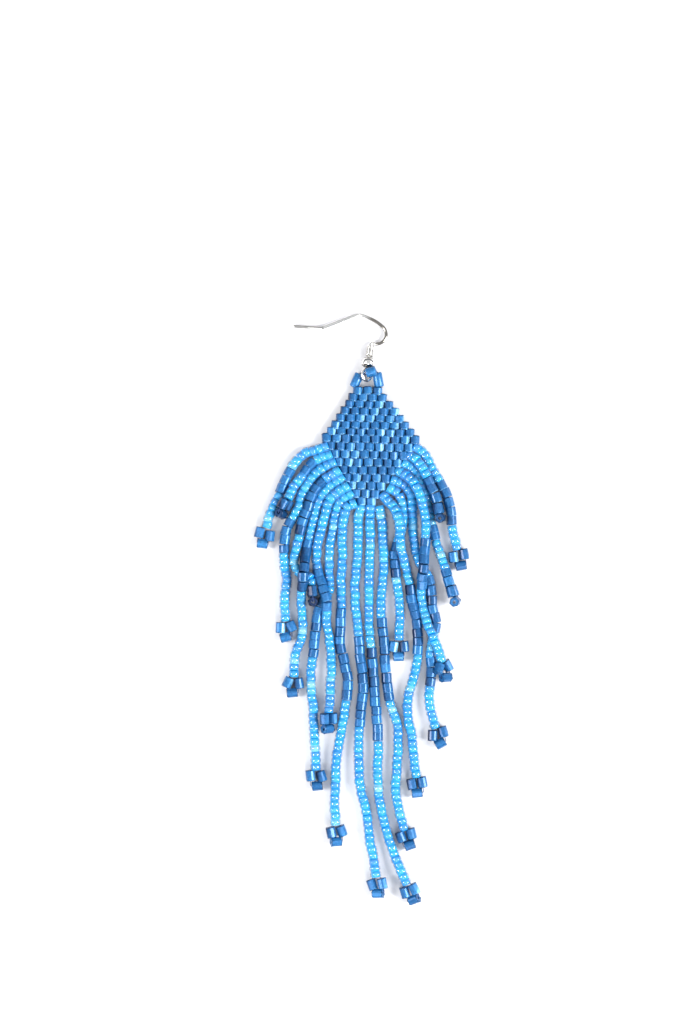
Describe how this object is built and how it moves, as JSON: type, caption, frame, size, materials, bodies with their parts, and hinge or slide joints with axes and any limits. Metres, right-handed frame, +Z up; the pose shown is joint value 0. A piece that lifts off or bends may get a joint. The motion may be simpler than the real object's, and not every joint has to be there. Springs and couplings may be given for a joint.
{
  "type": "beaded fringe earring",
  "caption": "Earring with a silver ear wire, a loop of blue beads, a woven diamond of dark blue beads, and a long fringe of light blue bead strings with three-bead tips",
  "frame": {"origin": "middle of the bounding box in X and Y, on the table under the earring", "axes": "the earring lies flat: +Y runs from the fringe tips to the ear wire, +X to the right seen from above, +Z up from the table"},
  "size_m": [0.0488, 0.1326, 0.005],
  "materials": {
    "silver": "polished silver-coloured wire",
    "dark_bead": "dark denim blue glass beads with a metallic glaze",
    "string_bead": "clear glass seed beads with a sky blue lining, and dark blue beads",
    "thread": "blue beading thread"
  },
  "bodies": {
    "root": {"ear_hook": "silver", "hook_ball": "silver", "hook_coil": "silver", "loop_bead_left": "dark_bead", "loop_bead_top": "dark_bead", "loop_bead_right": "dark_bead", "loop_thread": "thread", "diamond_panel": "dark_bead", "string_01": "string_bead", "string_02": "string_bead", "string_03": "string_bead", "string_04": "string_bead", "string_05": "string_bead", "string_06": "string_bead", "string_07": "string_bead", "string_08": "string_bead", "string_09": "string_bead", "string_10": "string_bead", "string_11": "string_bead", "string_12": "string_bead", "string_13": "string_bead", "string_14": "string_bead", "string_15": "string_bead", "string_16": "string_bead", "string_17": "string_bead", "string_18": "string_bead"}
  },
  "joints": []
}
